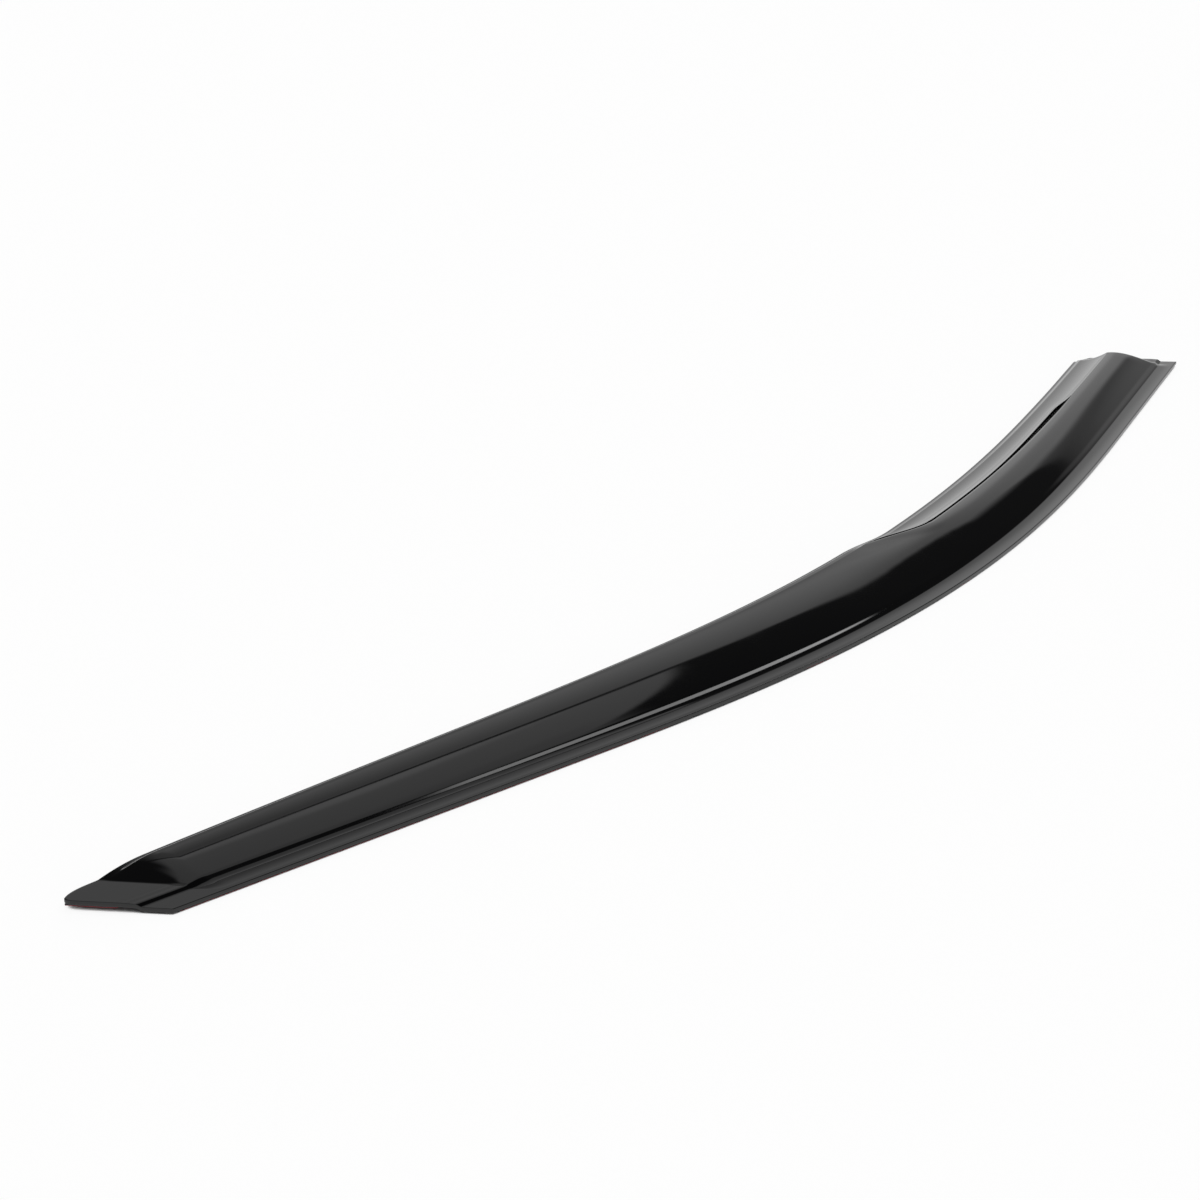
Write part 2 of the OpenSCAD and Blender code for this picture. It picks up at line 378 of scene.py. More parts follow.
    def hump_z(self, w: float, s: float) -> float:
        """Return the height of the band, with its swell beside the wing's start drawn out.

        Args:
            w: Distance across, between the riser and the band's edge.
            s: Distance along.

        Returns:
            The height over the flange.
        """
        (first, last), (outer_side, inner_side) = self.hump, self.hump_sides
        share = ease((s - first) / self.hump_lead) * ease((last - s) / self.hump_lead)
        share *= ease((w - self.riser_end) / outer_side) * ease((self.band_w(s) - w) / inner_side)
        own = self.section_z(w, s)
        if share == 0.0:
            return own
        steps = [i / self.hump_steps for i in range(-self.hump_steps, self.hump_steps + 1)]
        weights = [self.hump_weight - k * k for k in steps]
        heights = (a * self.section_z(w, s + k * self.hump_reach) for a, k in zip(weights, steps))
        return mix(own, sum(heights) / sum(weights), share)

    def roll(self, w: float, s: float) -> float:
        """Return how far the band's edge rolls down beside the wing."""
        share = ease((s - self.roll_start) / self.roll_lead) * ease((self.slot_end - s) / self.roll_end_lead)
        return self.roll_h * share * max(1.0 - (self.band_w(s) - w) / self.roll_w, 0.0) ** 2

    def full_z(self, w: float, s: float) -> float:
        """Work out the height away from the two ends.

        Args:
            w: Distance across.
            s: Distance along.

        Returns:
            The height over the flange.
        """
        bw, cw = self.band_w(s), self.crest_w(s)
        start = self.crown(s)[0]
        if w <= self.flange_w:
            return hermite(0.0, self.dish_rise, 0.0, self.dish_slope, self.flange_w, w / self.flange_w)
        if w <= self.riser_end:
            t = (w - self.flange_w) / self.riser_w
            return hermite(self.dish_rise, self.riser_h, self.dish_slope, start, self.riser_w, t)
        if w <= bw:
            return self.hump_z(w, s) - self.roll(w, s)
        if w <= cw:
            first, uncut = bw + self.gap_w(s), bw + self.slot_end_w
            left = min((cw - w) / (cw - uncut), 1.0)
            lift = self.louvre(s) * min((cw - w) / (cw - first), 1.0) ** self.louvre_power
            return mix(self.crest_z(s), self.band_z(s), left**self.wing_curve) + lift
        lip = mix(self.lip_drop, self.rear_lip_drop, self.dropped(s))
        return self.crest_z(s) - lip * ease((w - cw) / self.joggle_w)

    def wall(self, t: float) -> float:
        """Return the share of the full height that an end wall has reached."""
        return 1.0 - (1.0 - min(max(t, 0.0), 1.0)) ** self.wall_power

    def raised(self, w: float, s: float) -> float:
        """Work out how far the end walls have risen.

        Args:
            w: Distance across.
            s: Distance along.

        Returns:
            The share of the full height, 0 on the two end tabs.
        """
        across = ease((w - self.flange_w) / (self.crest_w(s) - self.flange_w))
        foot = self.wall((s - self.foot_tab) / mix(self.foot_close_riser, self.foot_close, across))
        left = self.length - self.rear_tab - s
        return foot * self.wall(left / mix(self.rear_close_riser, self.rear_close, across))

    def tab_z(self, w: float) -> float:
        """Return the height of the end tabs over the flange."""
        fold = ease((w - self.riser_end + self.fold_lead) / self.fold_w)
        ramp = ease((w - self.flange_w - self.ramp_inset) / self.ramp_w)
        return self.tab_rise * mix(fold, ramp, self.tab_share)

    def top(self, w: float, s: float) -> float:
        """Return the height of the upper surface over the ground."""
        return self.face_z + self.sheet_t + mix(self.tab_z(w), self.full_z(w, s), self.raised(w, s))

    def under(self, w: float, top: float, slope: float) -> float:
        """Work out the lower surface's height.

        Args:
            w: Distance across.
            top: Height of the upper surface there.
            slope: Slope of the upper surface there.

        Returns:
            The height over the ground.
        """
        thick = self.sheet_t * math.hypot(1.0, min(abs(slope), self.steepest))
        low = max(self.face_z + self.tab_z(w), top - thick)
        return mix(self.face_z, low, ease((w - self.tape_face_w) / self.tape_face_ease))


@dataclass(frozen=True)
class Bend:
    """Run of the sections along the flange's edge: how they are skewed, and where the frame's origin is."""

    foot_skew: float = -1.05
    rear_skew: float = -0.4
    skew_len_foot: float = 280.0
    skew_len_rear: float = 170.0
    origin: Point2 = (79.5047, -8.74195)


class Graph:
    """Small helper that adds nodes to a node tree and links them."""

    column_w: int = 180
    row_h: int = 260
    per_row: int = 12

    def __init__(self, tree: bpy.types.NodeTree) -> None:
        """Keep the tree and count its nodes, so that they are spread out."""
        self.tree = tree
        self.count = 0

    def add(self, kind: str, inputs: dict[str | int, object] | None = None,
            **settings: object) -> bpy.types.Node:
        """Add a node.

        Args:
            kind: The node's type name.
            inputs: Values or sockets by input name or number.
            settings: Attributes of the node.

        Returns:
            The new node.
        """
        node = self.tree.nodes.new(kind)
        row, column = divmod(self.count, self.per_row)
        node.location = (self.column_w * column, -self.row_h * row)
        self.count += 1
        for name, value in settings.items():
            setattr(node, name, value)
        self.fill(node, inputs or {})
        return node

    def fill(self, node: bpy.types.Node, inputs: dict[str | int, object]) -> None:
        """Link or set several inputs of a node."""
        for key, value in inputs.items():
            self.set(node.inputs[key], value)

    def set(self, socket: Socket, value: object) -> None:
        """Link a socket to an input, or set the input's own value."""
        if isinstance(value, bpy.types.NodeSocket):
            self.tree.links.new(value, socket)
        else:
            socket.default_value = value

    def math(self, operation: str, *values: Value) -> Socket:
        """Return the result of a Math node."""
        node = self.add("ShaderNodeMath", dict(enumerate(values)), operation=operation)
        return node.outputs[0]

    def vector(self, operation: str, *values: object) -> Socket:
        """Add a Vector Math node.

        Args:
            operation: Its operation.
            values: Its inputs in order, where the second of SCALE is the factor.

        Returns:
            Its vector result.
        """
        numbered = dict(enumerate(values))
        if operation == "SCALE":
            numbered = {0: values[0], "Scale": values[1]}
        return self.add("ShaderNodeVectorMath", numbered, operation=operation).outputs[0]

    def between(self, value: Value, low: Value, high: Value, easing: Easing = Easing.SMOOTH,
                to: Point2 = (0.0, 1.0)) -> Socket:
        """Map a value from one range to another, held at its ends.

        Args:
            value: The value.
            low: Where the first range begins.
            high: Where it ends.
            easing: How the value runs between the two.
            to: Beginning and end of the second range.

        Returns:
            The mapped value.
        """
        inputs = {"Value": value, "From Min": low, "From Max": high, "To Min": to[0], "To Max": to[1]}
        node = self.add("ShaderNodeMapRange", inputs, interpolation_type=easing.value, clamp=True)
        return node.outputs["Result"]

    def noise(self, place: Socket, scale: float, detail: float, roughness: float = 0.5) -> Socket:
        """Return the level of a noise texture."""
        inputs = {"Vector": place, "Scale": scale, "Detail": detail, "Roughness": roughness}
        return self.add("ShaderNodeTexNoise", inputs).outputs["Fac"]

    def bump(self, height: Socket, depth: float, **more: Socket) -> Socket:
        """Return a normal that a height bends, for a depth in millimetres."""
        inputs = {"Height": height, "Distance": depth * MM, "Strength": 1.0, **more}
        return self.add("ShaderNodeBump", inputs).outputs[0]

    def blend(self, share: Value, low: Value, high: Value) -> Socket:
        """Return a number a share of the way from low to high."""
        inputs = {"Factor": share, "A": low, "B": high}
        return self.add("ShaderNodeMix", inputs, data_type="FLOAT").outputs["Result"]


def empty_graph(owner: bpy.types.Material | bpy.types.World) -> Graph:
    """Clear an owner's nodes and return a helper for them."""
    owner.use_nodes = True
    owner.node_tree.nodes.clear()
    return Graph(owner.node_tree)


def new_material(name: str) -> tuple[bpy.types.Material, Graph, bpy.types.Node, Socket]:
    """Make a material with one Principled BSDF.

    Args:
        name: The material's name.

    Returns:
        The material, a helper for its tree, its shader node, and the place on the object.
    """
    material = bpy.data.materials.new(name)
    graph = empty_graph(material)
    shader = graph.add("ShaderNodeBsdfPrincipled")
    graph.add("ShaderNodeOutputMaterial", {"Surface": shader.outputs["BSDF"]})
    return material, graph, shader, graph.add("ShaderNodeTexCoord").outputs["Object"]


@dataclass(frozen=True)
class PolishedAcrylic:
    """Gloss black acrylic, pressed over a form and left polished.

    Attributes:
        color: Colour of the sheet.
        ior: Refractive index of acrylic.
        roughness: Lowest and highest roughness, in faint patches.
        patch_scale: Scale of the patches' noise.
        patch_span: Levels of that noise between which the roughness runs.
        wave: Length and height of the long waves that pressing leaves.
        peel: Length and height of the fine unevenness of the polish.
    """

    color: tuple[float, float, float, float] = (0.0018, 0.0018, 0.0022, 1.0)
    ior: float = 1.49
    roughness: Point2 = (0.035, 0.07)
    patch_scale: float = 24.0
    patch_span: Point2 = (0.4, 0.75)
    wave: Point2 = (45.0, 0.012)
    peel: Point2 = (2.6, 0.0008)

    def material(self) -> bpy.types.Material:
        """Build the finish.

        Returns:
            The material.
        """
        material, graph, shader, place = new_material("polished_acrylic")
        patches = graph.noise(place, self.patch_scale, detail=4.0, roughness=0.6)
        worn = graph.between(patches, *self.patch_span, to=self.roughness)
        (wave_len, wave_h), (peel_len, peel_h) = self.wave, self.peel
        waves = graph.bump(graph.noise(place, 1.0 / (wave_len * MM), detail=1.0), wave_h)
        bent = graph.bump(graph.noise(place, 1.0 / (peel_len * MM), detail=2.0), peel_h, Normal=waves)
        graph.fill(shader, {"Base Color": self.color, "IOR": self.ior, "Roughness": worn, "Normal": bent})
        return material


@dataclass(frozen=True)
class ClosedCellFoam:
    """Dark grey closed-cell foam tape with fine pores; the sunken borders between the pores are painted
    darker, as painted shade.
    """

    # Colour of the foam, and the darker colour painted into the sunken borders of its pores as painted
    # shade.
    light: tuple[float, float, float, float] = (0.12, 0.12, 0.125, 1.0)
    dark: tuple[float, float, float, float] = (0.045, 0.045, 0.05, 1.0)
    pore: float = 0.35
    pore_span: Point2 = (0.1, 0.6)
    depth: float = 0.05
    roughness: float = 0.85

    def material(self) -> bpy.types.Material:
        """Build the finish.

        Returns:
            The material.
        """
        material, graph, shader, place = new_material("closed_cell_foam")
        cells = graph.add("ShaderNodeTexVoronoi", {"Vector": place, "Scale": 1.0 / (self.pore * MM)})
        # Share of the way into the sunken border between pores: it bumps the surface down and paints it
        # darker, as painted shade.
        hollow_and_shade = graph.between(cells.outputs["Distance"], *self.pore_span)
        tone = graph.add("ShaderNodeMix", {"Factor": hollow_and_shade, COLOR_A: self.light, COLOR_B: self.dark},
                         data_type="RGBA")
        bump = graph.add("ShaderNodeBump", {"Distance": self.depth * MM, "Height": hollow_and_shade, "Strength": 0.8},
                         invert=True)
        graph.fill(shader, {"Base Color": tone.outputs[COLOR_OUT], "Roughness": self.roughness,
                            "Normal": bump.outputs[0]})
        return material


@dataclass(frozen=True)
class ReleaseFilm:
    """Red release film, semi-matt, with faint creases across it."""

    color: tuple[float, float, float, float] = (0.62, 0.03, 0.045, 1.0)
    deep: tuple[float, float, float, float] = (0.5, 0.02, 0.035, 1.0)
    crease: float = 9.0
    height: float = 0.03
    tone_span: Point2 = (0.35, 0.65)
    sheen_span: Point2 = (0.3, 0.7)
    roughness: Point2 = (0.3, 0.45)

    def material(self) -> bpy.types.Material:
        """Build the finish.

        Returns:
            The material.
        """
        material, graph, shader, place = new_material("release_film")
        creases = graph.noise(place, 1.0 / (self.crease * MM), detail=3.0)
        share = graph.between(creases, *self.tone_span)
        tone = graph.add("ShaderNodeMix", {"Factor": share, COLOR_A: self.deep, COLOR_B: self.color},
                         data_type="RGBA")
        worn = graph.between(creases, *self.sheen_span, to=self.roughness)
        graph.fill(shader, {"Base Color": tone.outputs[COLOR_OUT], "Roughness": worn,
                            "Normal": graph.bump(creases, self.height)})
        return material


def linked(name: str, data: bpy.types.Mesh | bpy.types.Camera) -> bpy.types.Object:
    """Make an object and link it to the scene."""
    made = bpy.data.objects.new(name, data)
    bpy.context.scene.collection.objects.link(made)
    return made


def new_object(name: str, points: Sequence[Point3], faces: Sequence[Sequence[int]],
               edges: Sequence[tuple[int, int]] = ()) -> bpy.types.Object:
    """Make a mesh object from points in millimetres.

    Args:
        name: The object's name.
        points: The mesh's points.
        faces: Its faces, as point numbers.
        edges: Its loose edges, as point numbers.

    Returns:
        The object, linked to the scene.
    """
    mesh = bpy.data.meshes.new(name)
    mesh.from_pydata([(x * MM, y * MM, z * MM) for x, y, z in points], list(edges), list(faces))
    mesh.update()
    return linked(name, mesh)


def settled(source: bpy.types.Object, name: str) -> bpy.types.Object:
    """Turn an object with modifiers into a plain mesh object.

    Args:
        source: The object; it is removed.
        name: Name of the new object.

    Returns:
        The plain object.
    """
    bpy.context.view_layer.update()
    evaluated = source.evaluated_get(bpy.context.evaluated_depsgraph_get())
    mesh = bpy.data.meshes.new_from_object(evaluated)
    mesh.name = name
    made = linked(name, mesh)
    bpy.data.objects.remove(source)
    return made


class NodeTool:
    """A Geometry Nodes tree that is put on an object with values for its named inputs."""

    def __init__(self, name: str, inputs: dict[str, tuple[str, object]]) -> None:
        """Make the tree's group and its interface.

        Args:
            name: The tree's name.
            inputs: Socket type and default by input name.
        """
        self.tree = bpy.data.node_groups.new(name, "GeometryNodeTree")
        face = self.tree.interface
        face.new_socket("Geometry", in_out="INPUT", socket_type="NodeSocketGeometry")
        for label, (kind, default) in inputs.items():
            socket = face.new_socket(label, in_out="INPUT", socket_type=kind)
            if default is not None:
                socket.default_value = default
        face.new_socket("Geometry", in_out="OUTPUT", socket_type="NodeSocketGeometry")
        self.graph = Graph(self.tree)
        self.given = self.graph.add("NodeGroupInput").outputs
        self.end = self.graph.add("NodeGroupOutput")

    def close(self, geometry: Socket, material: Socket) -> None:
        """End the tree in Realize Instances and Set Material.

        Args:
            geometry: What the tree has made.
            material: The finish that it gets.
        """
        real = self.graph.add("GeometryNodeRealizeInstances", {"Geometry": geometry})
        dressed = self.graph.add("GeometryNodeSetMaterial",
                                 {"Geometry": real.outputs[0], "Material": material})
        self.graph.set(self.end.inputs[0], dressed.outputs[0])

    def apply(self, source: bpy.types.Object, name: str, values: dict[str, object]) -> bpy.types.Object:
        """Run the tree on an object.

        Args:
            source: The object to run it on; it is removed.
            name: Name of the result.
            values: Input values by name.

        Returns:
            The result as a plain mesh object.
        """
        modifier = source.modifiers.new(self.tree.name, "NODES")
        modifier.node_group = self.tree
        sockets = {i.name: i.identifier for i in self.tree.interface.items_tree if i.in_out == "INPUT"}
        for label, value in values.items():
            modifier[sockets[label]] = value
        return settled(source, name)


class PathBend(NodeTool):
    """Tree that bends a flat layout along the flange's edge.

    In the layout X is the distance along the edge, Y the distance across and Z the height.
    """

    def __init__(self) -> None:
        """Build the tree."""
        super().__init__("bend_along_flange", {
            "Path": ("NodeSocketObject", None), "Material": ("NodeSocketMaterial", None),
            "Length": (FLOAT, 1.076), "Foot Skew": (FLOAT, -1.0), "Rear Skew": (FLOAT, -0.4),
            "Foot Skew Length": (FLOAT, 0.28), "Rear Skew Length": (FLOAT, 0.17),
            "Origin": ("NodeSocketVector", (0.0, 0.0, 0.0)),
        })
        g, given = self.graph, self.given
        path = g.add("GeometryNodeObjectInfo", {"Object": given["Path"]}).outputs["Geometry"]
        curve = g.add("GeometryNodeMeshToCurve", {"Mesh": path}).outputs[0]
        where = g.add("GeometryNodeInputPosition").outputs[0]
        flat = g.add("ShaderNodeSeparateXYZ", {0: where}).outputs
        sample = g.add("GeometryNodeSampleCurve", {"Curves": curve, "Length": flat[0]},
                       mode="LENGTH", use_all_curves=True)
        along = sample.outputs["Tangent"]
        inward = g.vector("CROSS_PRODUCT", (0.0, 0.0, 1.0), along)
        foot = g.math("MULTIPLY", given["Foot Skew"],
                      g.math("SUBTRACT", 1.0, g.between(flat[0], 0.0, given["Foot Skew Length"])))
        from_rear = g.math("SUBTRACT", given["Length"], flat[0])
        near = g.math("SUBTRACT", 1.0, g.between(from_rear, 0.0, given["Rear Skew Length"]))
        skew = g.math("ADD", foot, g.math("MULTIPLY", given["Rear Skew"], near))
        across = g.vector("SCALE", g.vector("ADD", inward, g.vector("SCALE", along, skew)), flat[1])
        up = g.add("ShaderNodeCombineXYZ", {2: flat[2]}).outputs[0]
        moved = g.vector("ADD", g.vector("ADD", sample.outputs["Position"], across), up)
        moved = g.vector("SUBTRACT", moved, given["Origin"])
        bent = g.add("GeometryNodeSetPosition", {"Geometry": given["Geometry"], "Position": moved})
        self.close(bent.outputs[0], given["Material"])


class StripSweep(NodeTool):
    """Tree that sweeps a strip with rounded corners along each edge of a mesh."""

    def __init__(self) -> None:
        """Build the tree."""
        super().__init__("sweep_strip", {
            "Material": ("NodeSocketMaterial", None), "Width": (FLOAT, 0.007), "Thickness": (FLOAT, 0.001),
            "Corner": (FLOAT, 0.0001), "Segment": (FLOAT, 0.01),
        })
        g, given = self.graph, self.given
        line = g.add("GeometryNodeMeshToCurve", {"Mesh": given["Geometry"]}).outputs[0]
        fine = g.add("GeometryNodeResampleCurve", {"Curve": line, "Length": given["Segment"]}, mode="LENGTH")
        level = g.add("GeometryNodeSetCurveNormal", {"Curve": fine.outputs[0]}, mode="Z_UP")
        outline = g.add("GeometryNodeCurvePrimitiveQuadrilateral",
                        {"Width": given["Width"], "Height": given["Thickness"]})
        rounded = g.add("GeometryNodeFilletCurve", {"Curve": outline.outputs[0], "Radius": given["Corner"],
                                                    "Count": 3}, mode="POLY")
        swept = g.add("GeometryNodeCurveToMesh", {"Curve": level.outputs[0], "Fill Caps": True,
                                                  "Profile Curve": rounded.outputs[0]})
        self.close(swept.outputs[0], given["Material"])


@dataclass(frozen=True)
class Spacing:
    """How far apart the shell's points lie along the flange, and how many there are across."""

    # Distances along at which a step begins that no size of the section gives.
    band_from: float = 80.0
    wing_from: float = 560.0
    wing_grown: float = 676.0
    slot_tail: float = 900.0
    # Steps along, from the foot's tip to the rear tab.
    tip: float = 0.45
    foot_tab: float = 2.2
    foot_wall: float = 1.0
    after_wall: float = 2.0
    band: float = 7.0
    wing_start: float = 2.4
    wing: float = 4.5
    slot_close: float = 3.0
    rear: float = 3.5
    rear_wall: float = 0.8
    rear_tab: float = 1.2
    # Step across the flange, and numbers of points across the rest.
    flange: float = 0.8
    riser_n: int = 14
    hump_n: int = 28
    roll_n: int = 7
    wing_n: int = 20
    joggle_n: int = 10
    lip_n: int = 2


@dataclass
class AcrylicShell:
    """The moulded shell: flange, riser, band, wing with its slot and inner lip, and the two end tabs."""

    finish: PolishedAcrylic
    section: Section = field(default_factory=Section)
    bend: Bend = field(default_factory=Bend)
    rounding: Edge = field(default_factory=Edge)
    spacing: Spacing = field(default_factory=Spacing)
    # Angle between faces, in degrees, past which an edge stays sharp.
    smooth_up_to: float = 34.0
    # How far the rear's inner corner is cut back, the width of the cut and its length.
    corner_cut: Point3 = (8.0, 8.0, 22.0)
    # Distance over which the slot's edges take on their rounding, at each of its ends.
    slot_lead: float = 8.0

    def stations(self) -> list[float]:
        """Choose where along the flange the shell has a ring.

        Returns:
            The distances along, in order.
        """
        sec, step, near = self.section, self.spacing, self.rounding.near()
        rear_tab = sec.length - sec.rear_tab
        steps = {
            near[-1]: step.tip, sec.tip_r: step.foot_tab, sec.foot_tab: step.foot_wall,
            sec.foot_tab + sec.foot_close: step.after_wall, step.band_from: step.band,
            step.wing_from: step.wing_start, step.wing_grown: step.wing, step.slot_tail: step.slot_close,
            sec.slot_end: step.rear, rear_tab - sec.rear_close: step.rear_wall, rear_tab: step.rear_tab,
        }
        places = [*steps, sec.length - near[-1]]
        inner = [s for a, b in zip(places, places[1:]) for s in spread(a, b, steps[a])]
        found = near[:-1] + inner + [sec.length - d for d in reversed(near)]
        return sorted(set(found) | {sec.slot_start, sec.slot_end})

    def columns(self, s: float) -> tuple[list[float], list[float]]:
        """Return the distances across of one ring.

        Args:
            s: Distance along.

        Returns:
            The distances up to the band's edge, and those from the wing's edge to the inner edge.
        """
        sec, count, near = self.section, self.spacing, self.rounding.near()
        bw, cw, iw = sec.band_w(s), sec.crest_w(s), sec.inner_w(s)
        first, rolled, lip = bw + sec.gap_w(s), bw - near[-1] - sec.roll_w, cw + sec.joggle_w
        outer = near[:-1] + spread(near[-1], sec.flange_w, count.flange)
        outer += evenly(sec.flange_w, sec.riser_end, count.riser_n)
        outer += evenly(sec.riser_end, rolled, count.hump_n)
        outer += evenly(rolled, rolled + sec.roll_w, count.roll_n)
        inner = [first + d for d in near[:-1]] + evenly(first + near[-1], cw, count.wing_n)
        inner += evenly(cw, lip, count.joggle_n) + evenly(lip, iw - near[-1], count.lip_n)
        return outer + [bw - d for d in reversed(near)], inner + [iw - d for d in reversed(near)]

    def open_share(self, s: float) -> float:
        """Return how far the slot is open, 0 to 1, which sets the rounding of its edges."""
        sec, lead = self.section, self.slot_lead
        return ease((s - sec.slot_start) / lead) * ease((sec.slot_end - s) / lead)

    def trimmed(self, w: float, s: float) -> Point2:
        """Return where a point lies along and across once the rear's inner corner is cut off.

        Args:
            w: Distance across.
            s: Distance along.

        Returns:
            The distance along and the distance across.
        """
        sec, (back, wide, lead) = self.section, self.corner_cut
        bw, near_end = sec.band_w(s), s - sec.length
        on_wing = min(max((w - bw) / (sec.crest_w(s) - bw), 0.0), 1.0)
        on_corner = min(max((w - sec.inner_w(s)) / wide + 1.0, 0.0), 1.0)
        inward = sec.flare_w * ease(near_end / sec.flare_len + 1.0)
        return s - back * on_corner * ease(near_end / lead + 1.0), w - inward * on_wing

    def ring(self, s: float) -> tuple[list[Point3], list[Point3], int]:
        """Return one ring of the flat layout.

        Args:
            s: Distance along.

        Returns:
            The upper points, the lower points, and the number of points before the slot.
        """
        sec, edge = self.section, self.rounding
        outer, inner = self.columns(s)
        radius, slot_radius = edge.radius, edge.radius * self.open_share(s)
        iw, bw = sec.inner_w(s), outer[-1]
        upper: list[Point3] = []
        lower: list[Point3] = []
        for part, limit in ((outer, bw), (inner, inner[0])):
            heights = [sec.top(min(w, bw) if part is outer else w, s) for w in part]
            for i, w in enumerate(part):
                a, b = max(i - 1, 0), min(i + 1, len(part) - 1)
                slope = (heights[b] - heights[a]) / max(part[b] - part[a], SHORTEST)
                drop = max(edge.drop(min(w, iw - w, s, sec.length - s), radius),
                           edge.drop(abs(w - limit), slot_radius))
                along, across = self.trimmed(w, s)
                upper.append((along, across, heights[i] - drop))
                lower.append((along, across, sec.under(w, heights[i], slope) + drop))
        return upper, lower, len(outer)

    def layout(self) -> tuple[list[Point3], list[Quad]]:
        """Lay the shell out flat.

        Returns:
            Its points, as distance along, distance across and height, and its faces.
        """
        stations = self.stations()
        rings = [self.ring(s) for s in stations]
        n, cut = len(rings[0][0]), rings[0][2]
        points = [p for upper, lower, _ in rings for p in upper + lower]
        faces: list[Quad] = []
        for i, s in enumerate(stations[:-1]):
            a, b = i * 2 * n, (i + 1) * 2 * n
            is_open = self.section.slot_start <= s < self.section.slot_end
            for j in range(n - 1):
                if is_open and j == cut - 1:
                    continue
                faces.append((a + j, b + j, b + j + 1, a + j + 1))
                faces.append((a + n + j, a + n + j + 1, b + n + j + 1, b + n + j))
            walls = [(0, False), (n - 1, True)] + ([(cut - 1, True), (cut, False)] if is_open else [])
            for j, inner_side in walls:
                wall = (a + j, a + n + j, b + n + j, b + j)
                faces.append(tuple(reversed(wall)) if inner_side else wall)
        first, last = stations.index(self.section.slot_start), stations.index(self.section.slot_end)
        caps = [(0, j, False) for j in range(n - 1)] + [(len(stations) - 1, j, True) for j in range(n - 1)]
        caps += [(first, cut - 1, True), (last, cut - 1, False)]
        for i, j, flip in caps:
            a = i * 2 * n
            cap = (a + j, a + j + 1, a + n + j + 1, a + n + j)
            faces.append(tuple(reversed(cap)) if flip else cap)
        return points, faces

    def build(self, bender: PathBend, path: bpy.types.Object) -> bpy.types.Object:
        """Make the shell.

        Args:
            bender: The tree that bends the layout.
            path: The flange's outer edge, as a line of edges.

        Returns:
            The finished piece.
        """
        points, faces = self.layout()
        flat = new_object("shell_layout", points, faces)
        bend = self.bend
        shell = bender.apply(flat, "acrylic_shell", {
            "Path": path, "Material": self.finish.material(), "Length": self.section.length * MM,
            "Foot Skew": bend.foot_skew, "Rear Skew": bend.rear_skew,
            "Foot Skew Length": bend.skew_len_foot * MM, "Rear Skew Length": bend.skew_len_rear * MM,
            "Origin": (bend.origin[0] * MM, bend.origin[1] * MM, 0.0),
        })
        shell.data.shade_smooth()
        shell.data.set_sharp_from_angle(angle=math.radians(self.smooth_up_to))
        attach(shell, "root")
        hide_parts("visor")
        return shell


@dataclass
class FlangeTape:
    """Straight runs of foam tape under the flange, each with its release liner."""

    edge: FlangeEdge
    runs: int = 7
    width: float = 7.0
    tape_t: float = 1.0
    liner_t: float = 0.2
    gap: float = 3.0
    margin: float = 5.0
    inset: float = 1.0
    corner: float = 0.15
    corner_share: float = 0.35
    segment: float = 12.0
    origin: Point2 = Bend().origin

    def lines(self, z: float) -> list[tuple[Point3, Point3]]:
        """Place the runs.

        Args:
            z: Height of their middle.

        Returns:
            The two ends of each run's middle line.
        """
        run = (self.edge.length - 2 * self.margin - (self.runs - 1) * self.gap) / self.runs
        found = []
        for i in range(self.runs):
            start = self.margin + i * (run + self.gap)
            (ax, ay), (bx, by) = (self.edge.inside(s, self.inset) for s in (start, start + run))
            reach = math.hypot(bx - ax, by - ay)
            nx, ny = -(by - ay) / reach * self.width / 2, (bx - ax) / reach * self.width / 2
            ox, oy = self.origin
            found.append(((ax + nx - ox, ay + ny - oy, z), (bx + nx - ox, by + ny - oy, z)))
        return found

    def build(self, sweep: StripSweep, slot: Slot, material: bpy.types.Material) -> bpy.types.Object:
        """Make all runs of the tape or of its liner.

        Args:
            sweep: The tree that sweeps the strip.
            slot: FOAM for the tape, LINER for its liner.
            material: The finish.

        Returns:
            The finished piece.
        """
        is_tape = slot is Slot.FOAM
        thick = self.tape_t if is_tape else self.liner_t
        low = self.liner_t if is_tape else 0.0
        label = "tape" if is_tape else "liner"
        points = [p for line in self.lines(low + thick / 2) for p in line]
        guide = new_object(f"{label}_lines", points, [], [(2 * i, 2 * i + 1) for i in range(self.runs)])
        piece = sweep.apply(guide, f"flange_{label}_runs", {
            "Material": material, "Width": self.width * MM, "Thickness": thick * MM,
            "Corner": min(self.corner, thick * self.corner_share) * MM, "Segment": self.segment * MM,
        })
        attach(piece, "root")
        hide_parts(*(f"flange_{label}_{i + 1}" for i in range(self.runs)))
        return piece


@dataclass
class TabPads:
    """Tape and liner under the two end tabs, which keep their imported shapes."""

    foam: bpy.types.Material
    film: bpy.types.Material

    def dress(self) -> list[str]:
        """Give the pads their finishes.

        Returns:
            The pads' names.
        """
        done = []
        for end in ("foot", "rear"):
            for kind, material in (("tape", self.foam), ("liner", self.film)):
                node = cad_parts[f"{end}_{kind}"]
                node.data.materials.clear()
                node.data.materials.append(material)
                done.append(node.name)
        return done


